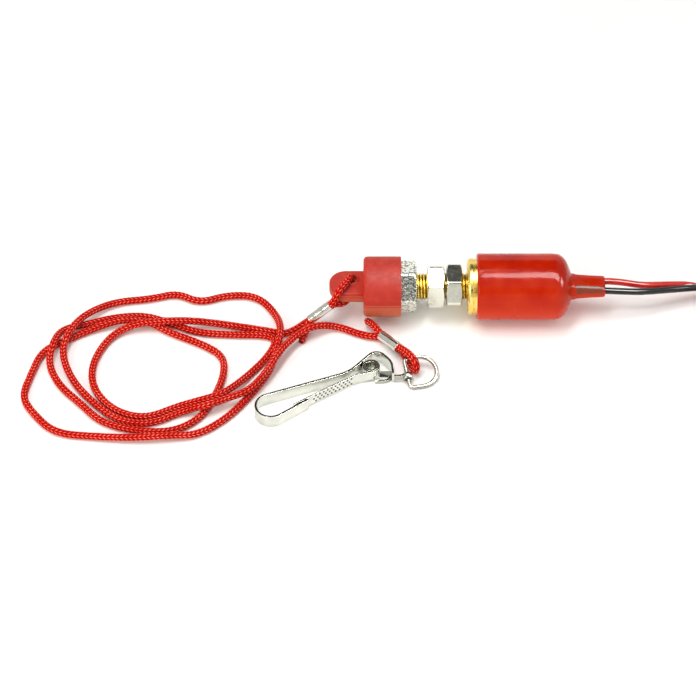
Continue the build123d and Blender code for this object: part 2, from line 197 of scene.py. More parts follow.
def grained(tree, shader, place, grain_mm, depth_mm, detail=3.0):
    """Fine relief of grains about grain_mm across."""
    noise = add_node(tree, "ShaderNodeTexNoise",
                     {"Vector": place, "Scale": 1000 / grain_mm, "Detail": detail})
    relief = add_node(tree, "ShaderNodeBump",
                      {"Height": noise.outputs["Fac"], "Distance": depth_mm * MM})
    tree.links.new(relief.outputs["Normal"], shader.inputs["Normal"])


def insulation(name, light, dark):
    """Extruded vinyl. The eye gets one even colour and a clean bright line along the wire, which
    wavers a little because the extrusion isn't quite round."""
    material, tree, shader, place = new_material(name, 0.22, coat=0.9)
    shader.inputs["Specular IOR Level"].default_value = 0.1
    tint = patches(tree, place, 9.0, ((0.35, dark), (0.65, light)), detail=2.0)
    tree.links.new(tint, shader.inputs["Base Color"])
    uneven_gloss(tree, shader, place, 2.5, 0.16, 0.3)
    grained(tree, shader, place, 9.0, 0.04, detail=2.0)
    return material


bullet_low = TABLE + 2.0
red_y = COIL_Y + 2.8
black_y = COIL_Y - 2.8
red_outside = [
    (47.5, 2.6, 0.2), (54, 3.1, -0.9), (61, 2.2, -1.7), (71, 4.7, -3.7), (79, 6.6, -5.6),
    (87, 8.2, LEAD_LOW), (94, 9.2, LEAD_LOW)]
black_outside = [
    (47.5, -2.0, 0), (54, -1.6, -0.8), (61, -1.0, -1.7), (71, 2.1, -3.7), (79, 4.1, -4.8),
    (87, 6.4, -6.4), (94, 9.2, LEAD_HIGH)]
red_end = [(87.9, COIL_Y + 0.6, LEAD_LOW), (90.0, red_y, bullet_low), (93.0, red_y, bullet_low)]
black_end = [(110.0, COIL_Y + 0.2, LEAD_HIGH), (107.4, black_y + 0.4, -8.5),
             (105.3, black_y, bullet_low), (103.0, black_y, bullet_low)]
red_route = LEAD_INSIDE + red_outside + coil_turns(RED_TURNS, LEAD_LOW) + red_end
black_route = [(x, -y, z) for x, y, z in LEAD_INSIDE]
black_route += black_outside + coil_turns(BLACK_TURNS, LEAD_HIGH) + black_end
for colour, route, exit_y, long, skin in (
        ("red", red_route, LEAD_SPACING, 0.32, insulation("red insulation", "D2200F", "BC160A")),
        ("black", black_route, -LEAD_SPACING, 0.28,
         insulation("black insulation", "0F1011", "070708"))):
    lead = spline_curve(colour + "_wire", route)
    print(colour, "lead", round(line_length(line_points(lead)), 4))
    lead.data.bevel_depth = LEAD_D / 2 * MM
    lead.data.bevel_resolution = 6
    lead.data.use_fill_caps = True
    lead.data.materials.append(skin)
    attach(lead, "switch")
    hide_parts(colour + "_lead", colour + "_lead_coil")


# Lanyard: round braided nylon cord, one length from cut end to cut end. It goes through the cap's
# eyelet and the ring, is crimped back on itself at both, and lies between them in loose loops.
CORD_D = 2.6
EYELET = (-40.4, 1.5)
AT_CAP = [
    (-57.8, -17.0, -10.25), (-56.2, -12.8, -9.8), (-55.5, -10.6, -6.5), (-46.9, -7.9, -1.1),
    (-44.6, -6.0, 3.9), (-42.2, -2.4, 4.0), (-40.4, 1.5, 4.0), (-40.4, 1.5, -3.75),
    (-41.3, -2.3, -3.85), (-43.6, -4.9, -3.75), (-46.9, -5.6, -2.7), (-54.4, -7.7, -8.5)]
LOOPS = [
    (-62.5, -13.5, -10.25), (-68, -12, -10.25), (-84, -8.5, -10.25), (-96, -9, -7.75),
    (-107, -10, -7), (-116.5, -10, -8.5), (-124.5, -14.5, -10.25), (-130, -27.5, -10.25),
    (-129, -39.5, -10.25), (-121.5, -49.5, -10.25), (-110.5, -53.5, -10.25),
    (-99.5, -47.5, -10.25), (-90.5, -46.5, -7.75), (-84, -45, -6.75), (-76.5, -34, -10.25),
    (-69, -24, -10.25), (-66, -16, -10.25), (-70, -13.5, -10.25), (-82, -13.5, -10.25),
    (-94, -12.5, -10.25), (-103, -8, -10.25), (-112.5, -4, -10.25), (-123, -5, -10.25),
    (-133, -8.5, -10.25), (-141, -11.5, -9.5), (-143.5, -21.5, -6), (-145, -27.5, -10.25),
    (-140.5, -38, -10.25), (-132.5, -46.5, -10.25), (-125.5, -55, -10.25), (-113, -59, -10.25),
    (-101, -59.5, -10.25), (-92, -53.5, -10.25), (-87.5, -44.5, -10.25), (-84, -33, -10.25),
    (-84.5, -23.5, -10.25), (-93, -17.5, -10.25), (-103.5, -12.5, -10.25), (-111.5, -7, -9.75),
    (-121.5, -8, -8.25), (-132, -11.5, -10.25), (-140, -16.5, -10.25), (-147.5, -21.5, -10.25),
    (-150.5, -32.5, -10.25), (-153, -43, -10.25), (-149, -50.5, -10.25), (-141, -60, -10.25),
    (-127.5, -61.5, -10.25), (-113.5, -63, -9.25), (-102, -62, -9), (-92.5, -61, -10.25),
    (-82.5, -53, -10.25), (-75, -42.5, -10.25), (-68.5, -31.5, -10.25), (-66.5, -24, -8.5),
    (-64.5, -16, -6), (-66, -4.5, -10.25), (-73, 5.5, -10.25), (-84, 6, -10.25),
    (-93.5, 2, -10.25), (-101.5, 7, -10.25), (-110.5, 4, -10.25), (-124, 2.5, -10.25),
    (-134, -7, -7.25), (-139, -17, -6.5), (-140.5, -23, -10.25), (-136.5, -35, -10.25),
    (-129, -45.5, -10.25), (-119.5, -54.5, -10.25), (-108.5, -56, -10.25),
    (-97.5, -49.5, -10.25), (-89.5, -50.5, -6.5), (-83, -46.5, -7.5), (-75, -43, -7.25),
    (-69, -33.5, -7.25), (-65.5, -26, -6), (-60, -16.5, -7.75), (-53.5, -13, -6),
    (-45.5, -9, -10.25), (-36, -14, -10.25)]
AT_RING = [
    (-29.3, -15.0, -9.75), (-22.8, -21.5, -9.65), (-20.9, -26.4, -10.2), (-18.0, -31.9, -10.2),
    (-18.0, -31.9, -5.0), (-20.7, -27.2, -5.0), (-23.9, -22.5, -7.3), (-30.3, -16.0, -7.3),
    (-32.4, -12.0, -6.9), (-35.0, -7.6, -9.2)]
CORD_STEP = 0.36
CORD_SIDES = 24
BRAID_PITCH = 1.5
BRAID_COLUMNS = 8
BRAID_DEPTH = 0.13
BRAID_SLANT = 0.9
PLAIT_ROUND = 1.8
COLUMN_ROUND = 2.4
COLUMN_GAP = 0.85


def evenly(points, step):
    """The same line with points a step apart."""
    total = line_length(points)
    count = max(2, round(total / step))
    spaced = []
    walked = 0.0
    index = 0
    for number in range(count + 1):
        wanted = total * number / count
        run = points[index + 1] - points[index]
        while index < len(points) - 2 and walked + run.length < wanted:
            walked += run.length
            index += 1
            run = points[index + 1] - points[index]
        spaced.append(points[index] + run * min(1.0, (wanted - walked) / max(run.length, 1e-9)))
    return spaced


def carried_frames(points):
    """A pair of directions across the line at each point, turned as little as possible."""
    across = Vector((0, 0, 1)).cross(points[1] - points[0]).normalized()
    frames = []
    for index in range(len(points)):
        ahead = points[min(index + 1, len(points) - 1)] - points[max(index - 1, 0)]
        ahead.normalize()
        across = (across - ahead * across.dot(ahead)).normalized()
        frames.append((across, ahead.cross(across)))
    return frames


def braid_height(around, along_mm):
    """Raised plaits in columns that slant to and fro, between 0 in the gaps and 1 on top."""
    column = abs((around * BRAID_COLUMNS / 2) % 1 - 0.5) * 2
    plait = (along_mm / BRAID_PITCH + column * BRAID_SLANT) % 1
    beside = abs(2 * column - 1) ** COLUMN_ROUND
    return (1 - abs(2 * plait - 1) ** PLAIT_ROUND) * (1 - beside * COLUMN_GAP)


def braided_mesh(name, points):
    """Closed tube along the points with the plaits raised on it, drawn in at its melted ends.
    Its UV runs round and along, along in mm."""
    frames = carried_frames(points)
    walked = 0.0
    mesh_edit = bmesh.new()
    uv_layer = mesh_edit.loops.layers.uv.new("braid")
    rings = []
    last = len(points) - 1
    for index, (point, (side, up)) in enumerate(zip(points, frames)):
        walked += (points[index] - points[index - 1]).length / MM if index else 0.0
        end_gap = min(index, last - index)
        taper = 1.0 if end_gap > 2 else 0.75 + 0.08 * end_gap
        ring = []
        for step in range(CORD_SIDES):
            turn = step / CORD_SIDES
            angle = 2 * math.pi * turn
            sunk = BRAID_DEPTH * (1 - braid_height(turn, walked))
            out = side * math.cos(angle) + up * math.sin(angle)
            ring.append(mesh_edit.verts.new(point + out * ((CORD_D / 2 - sunk) * taper * MM)))
        rings.append((ring, walked))
    for (ring, start), (following, end) in zip(rings, rings[1:]):
        for step in range(CORD_SIDES):
            after = (step + 1) % CORD_SIDES
            corners = (ring[step], ring[after], following[after], following[step])
            face = mesh_edit.faces.new(corners)
            face.smooth = True
            places = ((step, start), (step + 1, start), (step + 1, end), (step, end))
            for loop, (turn, along) in zip(face.loops, places):
                loop[uv_layer].uv = (turn / CORD_SIDES, along)
    for end_ring in (rings[0][0][::-1], rings[-1][0]):
        face = mesh_edit.faces.new(end_ring)
        for loop in face.loops:
            loop[uv_layer].uv = (0.5, 0.0)
    mesh_edit.normal_update()
    mesh = bpy.data.meshes.new(name)
    mesh_edit.to_mesh(mesh)
    mesh_edit.free()
    return put_in_scene(name, mesh)


def braid_material():
    """Nylon braid. The eye gets a painted highlight, pale flecks where the plaits ride up, and
    painted shade, dark red between them, with fuzz on every plait and duller runs where the cord
    was handled."""
    material, tree, shader, place = new_material("red braid", 0.5)
    shader.inputs["Specular IOR Level"].default_value = 0.05
    uv = add_node(tree, "ShaderNodeUVMap", uv_map="braid").outputs["UV"]
    split = add_node(tree, "ShaderNodeSeparateXYZ", {"Vector": uv})
    made = {"around": split.outputs["X"], "along": split.outputs["Y"]}
    for name, patch_mm in (("fuzz", 0.25), ("wear", 6.0)):
        made[name] = add_node(tree, "ShaderNodeTexNoise", {
            "Vector": place, "Scale": 1000 / patch_mm, "Detail": 2.0}).outputs["Fac"]
    for name, operation, *terms in (
            ("columns", "MULTIPLY", "around", BRAID_COLUMNS / 2),
            ("in column", "FRACT", "columns"),
            ("off centre", "SUBTRACT", "in column", 0.5),
            ("half column", "ABSOLUTE", "off centre"),
            ("column", "MULTIPLY", "half column", 2.0),
            ("plaits", "DIVIDE", "along", BRAID_PITCH),
            ("slanted", "MULTIPLY_ADD", "column", BRAID_SLANT, "plaits"),
            ("plait", "FRACT", "slanted"),
            ("off middle", "MULTIPLY_ADD", "plait", 2.0, -1.0),
            ("from middle", "ABSOLUTE", "off middle"),
            ("fallen", "POWER", "from middle", PLAIT_ROUND),
            ("plait height", "SUBTRACT", 1.0, "fallen"),
            ("off column", "MULTIPLY_ADD", "column", 2.0, -1.0),
            ("from column", "ABSOLUTE", "off column"),
            ("beside", "POWER", "from column", COLUMN_ROUND),
            ("column height", "MULTIPLY_ADD", "beside", -COLUMN_GAP, 1.0),
            ("height", "MULTIPLY", "plait height", "column height"),
            ("fuzz swing", "SUBTRACT", "fuzz", 0.5),
            ("fuzzy", "MULTIPLY_ADD", "fuzz swing", 0.35, "height"),
            ("wear swing", "SUBTRACT", "wear", 0.5),
            ("shade", "MULTIPLY_ADD", "wear swing", 0.3, "fuzzy")):
        inputs = {number: made.get(term, term) for number, term in enumerate(terms)}
        made[name] = add_node(tree, "ShaderNodeMath", inputs, operation=operation).outputs[0]
    # Painted light: a pale pink highlight on the tops of the plaits and dark red shade in the gaps.
    tint = add_node(tree, "ShaderNodeValToRGB", {"Fac": made["shade"]}, stops=(
        (0.0, "6E0000"), (0.35, "C00800"), (0.65, "E01604"), (0.85, "F44028"), (1.0, "FF9A88")))
    tree.links.new(tint.outputs["Color"], shader.inputs["Base Color"])
    relief = add_node(tree, "ShaderNodeBump", {"Height": made["shade"], "Distance": 0.22 * MM})
    tree.links.new(relief.outputs["Normal"], shader.inputs["Normal"])
    return material


route_line = spline_curve("lanyard_route", AT_CAP + LOOPS + AT_RING)
lanyard_line = evenly(line_points(route_line), CORD_STEP * MM)
bpy.data.objects.remove(route_line)
print("lanyard", round(line_length(lanyard_line), 4))
lanyard = braided_mesh("braided_lanyard", lanyard_line)
lanyard.data.materials.append(braid_material())
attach(lanyard, "cap")
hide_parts("lanyard_cord")


# Stage: a plain white table under everything, in a white room. Soft lights stand overhead, in front
# on the left and low behind, two more only add gloss, and two dark cards give the metal its lines.
TABLE_REACH = 4.0
floor_z = (TABLE - 0.02) * MM


def flat_sheet(name, half_wide, half_high, height=0.0):
    mesh = bpy.data.meshes.new(name)
    corners = ((-1, -1), (1, -1), (1, 1), (-1, 1))
    mesh.from_pydata([(x * half_wide, y * half_high, height) for x, y in corners], [],
                     [(0, 1, 2, 3)])
    return mesh


# The table is painted board: an even white without gloss, so that it takes only faint shadows.
floor_material, tree, shader, place = new_material("pale table", 0.9)
tree.links.new(patches(tree, place, 60.0, ((0.3, "FDFDFD"), (0.7, "FFFFFF"))),
               shader.inputs["Base Color"])
floor = put_in_scene("table", flat_sheet("table", TABLE_REACH, TABLE_REACH, floor_z))
floor.data.materials.append(floor_material)

world = bpy.data.worlds.new("white room")
bpy.context.scene.world = world
world.use_nodes = True
world.node_tree.nodes["Background"].inputs["Color"].default_value = hex_colour("FFFFFB")
world.node_tree.nodes["Background"].inputs["Strength"].default_value = 0.67
bpy.context.scene.view_settings.view_transform = "Standard"


def aimed(thing, place, aim=(-0.03, -0.02, 0)):
    thing.location = place
    thing.rotation_euler = (Vector(aim) - Vector(place)).to_track_quat("-Z", "Y").to_euler()


def soft_light(name, place, size, power, colour="FFFFFF", only_gloss=False):
    """Soft box. One that is only for gloss makes a highlight without lighting the table."""
    data = bpy.data.lights.new(name, "AREA")
    data.shape = "RECTANGLE"
    data.size, data.size_y = size
    data.energy = power
    data.color = hex_colour(colour)[:3]
    lamp = put_in_scene(name, data)
    lamp.visible_diffuse = not only_gloss
    aimed(lamp, place)


def dark_card(name, place, size):
    """Matt black card outside the picture. It shows only as a dark line in the bright metal."""
    material, _, shader, _ = new_material(name, 0.9)
    shader.inputs["Base Color"].default_value = hex_colour("141414")
    card = put_in_scene(name, flat_sheet(name, size[0] / 2, size[1] / 2))
    card.data.materials.append(material)
    card.visible_camera = False
    aimed(card, place)


soft_light("overhead", (-0.14, 0.03, 0.8), (0.8, 0.2), 4.8)
soft_light("front left", (-0.7, -0.7, 0.42), (0.5, 0.4), 3.7, "FFF6E6")
soft_light("low behind", (0.0, 0.70, 0.26), (1.2, 0.26), 0.55)
soft_light("right", (0.81, -0.14, 0.42), (0.26, 0.36), 8.5, only_gloss=True)
soft_light("over the leads", (0.27, -0.14, 0.8), (0.3, 0.56), 12.0, only_gloss=True)
dark_card("card behind", (-0.04, 0.315, 0.45), (0.42, 0.42))
dark_card("card in front", (-0.02, -0.70, 0.388), (0.5, 0.3))


# Boot: the whole body is dipped in thick glossy red vinyl. It fits over the can like a skin, draws
# in over a round shoulder and ends in a flattened neck that grips the two leads.
BOOT_R = 11.55
BOOT_FRONT = 3.3
LIP_R = 0.8
CAN_R = 9.9
CAN_END = 19.6
SKIN_INSIDE_R = CAN_R + 0.05


def finished(name, mesh_edit, sharp_deg=40):
    """Object from an edited mesh, smooth apart from its sharp edges."""
    mesh = bpy.data.meshes.new(name)
    mesh_edit.to_mesh(mesh)
    mesh_edit.free()
    mesh.shade_smooth()
    mesh.set_sharp_from_angle(angle=math.radians(sharp_deg))
    return put_in_scene(name, mesh)


def ring_mesh(name, rings, closed_ends=True, sharp_deg=40):
    """Skin over rings of points, smooth apart from edges sharper than sharp_deg."""
    mesh_edit = bmesh.new()
    made = [[mesh_edit.verts.new(Vector(point) * MM) for point in ring] for ring in rings]
    count = len(rings[0])
    for ring, following in zip(made, made[1:]):
        for step in range(count):
            after = (step + 1) % count
            mesh_edit.faces.new((ring[step], ring[after], following[after], following[step]))
    if closed_ends:
        mesh_edit.faces.new(made[0][::-1])
        mesh_edit.faces.new(made[-1])
    bmesh.ops.remove_doubles(mesh_edit, verts=mesh_edit.verts, dist=0.0005 * MM)
    bmesh.ops.recalc_face_normals(mesh_edit, faces=mesh_edit.faces)
    return finished(name, mesh_edit, sharp_deg)


def arc(centre, radius, start_deg, end_deg, steps=8):
    """Points of an arc in a profile."""
    turns = [math.radians(start_deg + (end_deg - start_deg) * n / steps) for n in range(steps + 1)]
    return [(centre[0] + radius * math.cos(t), centre[1] + radius * math.sin(t)) for t in turns]


def angles(count):
    """Angles once round, in radians."""
    return [2 * math.pi * n / count for n in range(count)]


def turned_rings(profile, segments=96):
    """Rings about the switch's axis from (x, radius) points."""
    return [[(x, r * math.cos(t), r * math.sin(t)) for t in angles(segments)] for x, r in profile]


def oval_ring(x, half_wide, half_high, power):
    """Rounded oval across the axis. power 2 is an ellipse, more is squarer."""
    ring = []
    for t in angles(96):
        c, s = math.cos(t), math.sin(t)
        y = half_wide * math.copysign(abs(c) ** (2 / power), c)
        z = half_high * math.copysign(abs(s) ** (2 / power), s)
        ring.append((x, y, z))
    return ring


front_lip = arc((BOOT_FRONT + LIP_R, BOOT_R - LIP_R), LIP_R, 180, 90)
body = [(6 + n * 2.2, BOOT_R) for n in range(11)]
shoulder = [(30.3, 11.55), (31.4, 11.4), (32.4, 11.0), (33.3, 10.35), (34.1, 9.45), (34.8, 8.3),
            (35.3, 7.1), (35.8, 5.9)]
neck = [(36.2, 5.05, 4.5, 2.0), (36.5, 4.9, 4.0, 2.1), (37.0, 4.95, 3.95, 2.2),
        (37.5, 4.75, 3.65, 2.3), (38.2, 4.55, 3.4, 2.4), (40.5, 4.4, 3.15, 2.5),
        (43.0, 4.3, 2.9, 2.5), (45.5, 4.2, 2.75, 2.5), (47.3, 4.15, 2.65, 2.5),
        (47.9, 4.0, 2.5, 2.4), (48.0, 3.6, 2.2, 2.3), (47.9, 2.9, 1.6, 2.2), (46.5, 2.7, 1.3, 2.2)]
neck_inside = [(40, 2.8, 1.35, 2.2), (36, 3.4, 2.2, 2.0)]
inside = [(33, 5.6), (31, 8.4), (28.6, 9.6), (CAN_END, SKIN_INSIDE_R)]
boot_rings = turned_rings([(CAN_END, SKIN_INSIDE_R), (3.35, SKIN_INSIDE_R)] + front_lip + body)
boot_rings += turned_rings(shoulder)
boot_rings += [oval_ring(*section) for section in neck + neck_inside]
boot_rings += turned_rings(inside)
boot = ring_mesh("dipped_boot", boot_rings, closed_ends=False, sharp_deg=60)

# Dipped vinyl: a wet gloss over soft waves where it sagged, with a painted reflection of the white
# table that makes it paler and oranger underneath. The front lead shows brown through the neck:
# thin_edges box that patch in on each axis.
vinyl, tree, shader, place = new_material("dipped vinyl", 0.24, coat=0.2)
shader.inputs["Specular IOR Level"].default_value = 0.06
skin = patches(tree, place, 12.0, ((0.3, "A81600"), (0.5, "B41D03"), (0.75, "C43010")),
               detail=2.0)
split = add_node(tree, "ShaderNodeSeparateXYZ", {"Vector": place})
# Painted reflection of the white table: paler and oranger towards the bottom.
painted_table_reflection = add_node(tree, "ShaderNodeMapRange", {
    "Value": split.outputs["Z"], "From Min": 4 * MM, "From Max": -1.5 * MM}).outputs["Result"]
skin = add_node(tree, "ShaderNodeMix", {0: painted_table_reflection, 6: skin, 7: hex_colour("CC3008")},
                data_type="RGBA").outputs[2]
specks = add_node(tree, "ShaderNodeTexNoise",
                  {"Vector": place, "Scale": 1000 / 0.7, "Detail": 3.0})
thin = add_node(tree, "ShaderNodeMapRange", {
    "Value": specks.outputs["Fac"], "From Min": 0.25, "From Max": 0.55,
    "To Min": 0.55, "To Max": 0.9}).outputs["Result"]
thin_edges = (("X", 37.4, 38.4), ("X", 47.6, 47.0), ("Y", -2.0, -2.5), ("Z", 0.3, 1.0))
for axis, start, full in thin_edges:
    edge = add_node(tree, "ShaderNodeMapRange", {
        "Value": split.outputs[axis], "From Min": start * MM, "From Max": full * MM},
        interpolation_type="SMOOTHSTEP")
    thin = add_node(tree, "ShaderNodeMath", {0: thin, 1: edge.outputs["Result"]},
                    operation="MULTIPLY").outputs[0]
shown = add_node(tree, "ShaderNodeMix", {0: thin, 6: skin, 7: hex_colour("6A4434")},
                 data_type="RGBA").outputs[2]
tree.links.new(shown, shader.inputs["Base Color"])
uneven_gloss(tree, shader, place, 3.0, 0.14, 0.28)
grained(tree, shader, place, 5.0, 0.25)
boot.data.materials.append(vinyl)
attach(boot, "switch")
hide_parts("vinyl_boot")


# Can and bushing: drawn and turned brass. The can's rolled edge shows as a bright rim in front of
# the dip, and the bushing's fine cut thread shows in the gaps between the nuts.
ROLL_R = 1.2
CAN_INSIDE_R = 9.2
THREAD_R = 4.7625
THREAD_PITCH = 25.4 / 24
THREAD_DEEP = 0.6
THREAD_LONG = 24.3
THREAD_FRONT = -24.5
THREAD_ROWS = int(24.0 / THREAD_PITCH * 8)
THREAD_SIDES = 64
PLUNGER_BORE_R = 2.55
SPRING_BORE_R = 3.8

# Bright brass: lightly tarnished in clouds, with faint rings from drawing that streak its gloss.
# The real rings are finer than the picture can show, so they are drawn about 0.35 mm apart.
bright_brass, tree, shader, place = new_material("bright brass", 0.24, metallic=1.0)
tree.links.new(patches(tree, place, 4.0, ((0.3, "E6C25A"), (0.7, "FBE58E"))),
               shader.inputs["Base Color"])
uneven_gloss(tree, shader, place, 1.2, 0.18, 0.34)
turning = add_node(tree, "ShaderNodeTexWave", {"Vector": place, "Scale": 900.0, "Distortion": 1.5},
                   bands_direction="X")
relief = add_node(tree, "ShaderNodeBump", {
    "Height": turning.outputs["Fac"], "Distance": 0.01 * MM, "Strength": 0.25})
tree.links.new(relief.outputs["Normal"], shader.inputs["Normal"])
can_profile = [(CAN_END, CAN_INSIDE_R), (CAN_END, CAN_R), (2.6, CAN_R), (2.4, 9.65), (2.1, 9.65),
               (1.9, CAN_R)]
can_profile += arc((ROLL_R, CAN_R - ROLL_R), ROLL_R, 90, 180)
can_profile += [(0.0, 4.8), (1.0, 4.8), (1.0, CAN_INSIDE_R), (CAN_END, CAN_INSIDE_R)]
can = ring_mesh("brass_can", turned_rings(can_profile), closed_ends=False, sharp_deg=35)
can.data.materials.append(bright_brass)
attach(can, "switch")
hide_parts("switch_can")

thread_rings = turned_rings([(THREAD_FRONT, PLUNGER_BORE_R), (THREAD_FRONT, 4.2)], THREAD_SIDES)
for row in range(THREAD_ROWS + 1):
    x = THREAD_LONG * (row / THREAD_ROWS - 1)
    ring = []
    for step, angle in enumerate(angles(THREAD_SIDES)):
        flank = abs(((x / THREAD_PITCH - step / THREAD_SIDES) % 1) * 2 - 1)
        radius = THREAD_R - THREAD_DEEP * max(0.0, min(1.0, flank * 1.25 - 0.12))
        ring.append((x, radius * math.cos(angle), radius * math.sin(angle)))
    thread_rings.append(ring)
bushing_back = [(0.0, 4.6), (1.0, 4.6), (1.0, 6.5), (2.4, 6.5), (2.4, SPRING_BORE_R),
                (-3.0, SPRING_BORE_R), (-3.0, PLUNGER_BORE_R), (THREAD_FRONT, PLUNGER_BORE_R)]
thread_rings += turned_rings(bushing_back, THREAD_SIDES)
bushing = ring_mesh("threaded_brass", thread_rings, closed_ends=False, sharp_deg=50)

# Cut brass: bright crests, and painted shade in the thread's roots, dark and brown.
cut_brass, tree, shader, place = new_material("cut brass", 0.26, metallic=1.0)
off_axis = add_node(tree, "ShaderNodeVectorMath", {0: place, 1: (0, 1, 1)},
                    operation="MULTIPLY").outputs["Vector"]
from_axis = add_node(tree, "ShaderNodeVectorMath", {0: off_axis}, operation="LENGTH")
painted_shade_by_flank = add_node(tree, "ShaderNodeMapRange", {
    "Value": from_axis.outputs["Value"], "From Min": (THREAD_R - THREAD_DEEP) * MM,
    "From Max": THREAD_R * MM})
# Painted shade: the colour darkens to brown down the flanks into the roots.
tint = add_node(tree, "ShaderNodeValToRGB", {"Fac": painted_shade_by_flank.outputs["Result"]},
                stops=((0.05, "6A4C18"), (0.4, "DCB048"), (0.65, "FFEE92")))
tree.links.new(tint.outputs["Color"], shader.inputs["Base Color"])
uneven_gloss(tree, shader, place, 0.8, 0.2, 0.36)
bushing.data.materials.append(cut_brass)
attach(bushing, "switch")
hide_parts("threaded_bushing")


# Collar and nuts: hexagon bar with chamfered corners, zinc plated and bright. The large collar is
# what the cap grips, the two thin nuts clamp a panel between them.
CORNER_TRIM = 0.12
FACE_INSET = 0.5
CHAMFER = math.radians(30)
CHAMFER_STEPS = 5


def plated_material(name, dark, light, roughness, patch_mm=5.0, edges=(0.3, 0.7), grain_mm=0.6,
                    grain_deep=0.003):
    """Bright plating on steel. It mirrors the room, softly clouded where the plate varies."""
    material, tree, shader, place = new_material(name, roughness, metallic=1.0)
    tree.links.new(patches(tree, place, patch_mm, ((edges[0], dark), (edges[1], light))),
                   shader.inputs["Base Color"])
    uneven_gloss(tree, shader, place, 1.0, roughness - 0.05, roughness + 0.08)
    grained(tree, shader, place, grain_mm, grain_deep)
    return material


def hexagon_rings(across_flats, start, end, vertex_deg, bore):
    """Rings of a hexagon with its corners turned off at 30 degrees and a round bore."""
    corner = across_flats / math.sqrt(3)
    first = math.pi - math.radians(vertex_deg)
    low = across_flats / 2 - CORNER_TRIM
    rise = corner - low
    drop = rise * math.tan(CHAMFER)
    face = across_flats / 2 - FACE_INSET
    shares = [n / CHAMFER_STEPS for n in range(1, CHAMFER_STEPS + 1)]
    outer = [(start, face, False), (start, low, True)]
    outer += [(start + drop * share, low + rise * share, True) for share in shares]
    outer += [(end - drop * share, low + rise * share, True) for share in reversed(shares)]
    outer += [(end, low, True), (end, face, False)]
    inner = [(end, bore + 0.5, False), (end - 0.5, bore, False), (start + 0.5, bore, False),
             (start, bore + 0.5, False)]
    rings = []
    for x, limit, on_flats in outer + inner:
        ring = []
        for turn in angles(120):
            side = (turn - first) % (math.pi / 3) - math.pi / 6
            flat = min(across_flats / 2 / math.cos(side), corner - CORNER_TRIM)
            radius = min(limit, flat) if on_flats else limit
            ring.append((x, radius * math.cos(turn), radius * math.sin(turn)))
        rings.append(ring)
    rings.append(rings[0])
    return rings


bright_zinc = plated_material("bright zinc plate", "DCDBCC", "EEEDE0", 0.16)
# The collar's plate is crinkled: grains a millimetre wide with dark seams break up its mirror.
coarse_zinc = plated_material("coarse zinc plate", "9BA196", "F6F8EE", 0.12, patch_mm=0.95,
                              edges=(0.4, 0.5), grain_mm=0.95, grain_deep=0.24)
for node, across, start, end, vertex, bore, rider, plate in (
        ("hex_collar", 15.875, -26.5, -17.6, 10, 2.7, "switch", coarse_zinc),
        ("front_nut", 14.29, -13.9, -8.0, 42, 4.8, "front_nut", bright_zinc),
        ("rear_nut", 14.29, -7.3, -1.8, 54, 4.8, "rear_nut", bright_zinc)):
    nut = ring_mesh(node + "_plated", hexagon_rings(across, start, end, vertex, bore),
                    closed_ends=False, sharp_deg=14)
    nut.data.materials.append(plate)
    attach(nut, rider)
    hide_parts(node)


# Pull cap: soft moulded rubber in a dull dark red. A disc hides the socket that snaps over the
# collar, and a flat tab with a rimmed eyelet stands out of it for the lanyard.
CAP_R = 10.5
SOCKET_R = 9.3
CAP_BACK_R = 1.4
CAP_LIP_R = 0.4
TAB_R = 5.8
TAB_ROUND_X = -42.2
TAB_HALF_THICK = 2.15
TAB_EDGE_R = 0.5
EYELET_R = 2.5
# Height of a painted highlight: a pale line along both sides of the cap.
PAINTED_HIGHLIGHT_Z = 0.75

# Moulded rubber: a soft dull red with a bloom on it. A painted highlight runs as a pale line along
# both sides just above the middle, and the lower half is painted paler and browner, as light
# bounced off the table.
rubber, tree, shader, place = new_material("moulded rubber", 0.55)
shader.inputs["Specular IOR Level"].default_value = 0.3
bloom = patches(tree, place, 3.0, ((0.25, "AE2414"), (0.5, "B82816"), (0.8, "C83824")))
split = add_node(tree, "ShaderNodeSeparateXYZ", {"Vector": place})
above = add_node(tree, "ShaderNodeMath", {0: split.outputs["Z"], 1: PAINTED_HIGHLIGHT_Z * MM},
                 operation="SUBTRACT").outputs[0]
off_line = add_node(tree, "ShaderNodeMath", {0: above}, operation="ABSOLUTE").outputs[0]
on_painted_highlight = add_node(tree, "ShaderNodeMapRange", {
    "Value": off_line, "From Min": 0.3 * MM, "From Max": 0.1 * MM}).outputs["Result"]
# Painted light bounced off the table: the lower half is paler and browner.
painted_bounce = add_node(tree, "ShaderNodeMapRange", {
    "Value": above, "From Min": -0.1 * MM, "From Max": -1.2 * MM}).outputs["Result"]
for share, colour in ((painted_bounce, "C05A3C"), (on_painted_highlight, "CE5340")):
    bloom = add_node(tree, "ShaderNodeMix", {0: share, 6: bloom, 7: hex_colour(colour)},
                     data_type="RGBA").outputs[2]
tree.links.new(bloom, shader.inputs["Base Color"])
uneven_gloss(tree, shader, place, 0.8, 0.45, 0.7)
grained(tree, shader, place, 0.35, 0.04, detail=4.0)

cap_profile = [(-27.55, 0.01), (-27.55, 2.8), (-27.8, 3.0), (-29.5, 3.0), (-29.5, SOCKET_R),
               (-23.2, SOCKET_R)]
cap_profile += arc((-23.4, CAP_R - CAP_LIP_R), CAP_LIP_R, 0, 90, 5)
cap_profile += arc((-34.7, CAP_R - CAP_BACK_R), CAP_BACK_R, 90, 180) + [(-36.1, 0.01)]
cap = ring_mesh("rubber_cap", turned_rings(cap_profile, 128), sharp_deg=50)
cap.data.materials.append(rubber)

